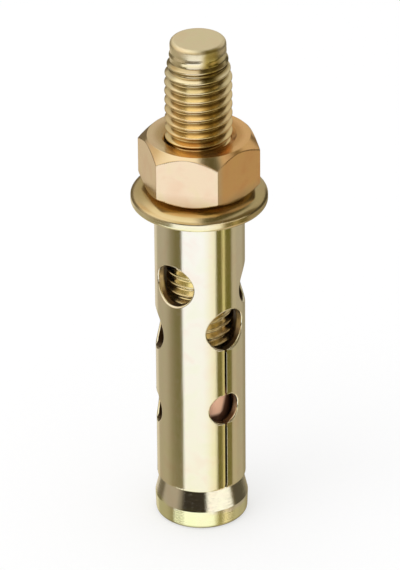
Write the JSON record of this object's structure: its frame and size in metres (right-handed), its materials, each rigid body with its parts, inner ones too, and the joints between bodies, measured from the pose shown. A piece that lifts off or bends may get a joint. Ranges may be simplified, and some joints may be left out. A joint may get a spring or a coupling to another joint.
{
  "type": "sleeve anchor",
  "caption": "Sleeve anchor: a threaded stud with a flared conical foot inside a perforated, slit expansion sleeve, closed by a washer with an eased rim and a hexagon nut.",
  "frame": {"origin": "middle of the flat underside of the stud's foot", "axes": "+Z along the stud, from the foot to the threaded end; the picture looks along +Y"},
  "size_m": [0.0242, 0.0242, 0.0947],
  "materials": {
    "stud_steel": "yellow passivated zinc on turned and rolled steel",
    "sleeve_steel": "bright yellow passivated zinc on steel tube",
    "washer_steel": "yellow passivated zinc on stamped steel",
    "nut_steel": "yellow passivated zinc on forged steel"
  },
  "bodies": {
    "stud": {"stud": "stud_steel"},
    "sleeve": {"sleeve": "sleeve_steel"},
    "washer": {"washer": "washer_steel"},
    "nut": {"nut": "nut_steel"}
  },
  "joints": [
    {"name": "sleeve_turn", "type": "hinge", "parent": "stud", "child": "sleeve", "pos_m": [0, 0, 0.0075], "axis": [0, 0, 1], "continuous": true},
    {"name": "washer_lift", "type": "slide", "parent": "stud", "child": "washer", "axis": [0, 0, 1], "range_m": [0, 0.0245]},
    {"name": "nut_turn", "type": "hinge", "parent": "washer", "child": "nut", "pos_m": [0, 0, 0.06595], "axis": [0, 0, 1], "range_deg": [0, 5040]}
  ],
  "couplings": [
    {"joint": "washer_lift", "follows": "nut_turn", "m_per_rad": 0.00027852}
  ]
}
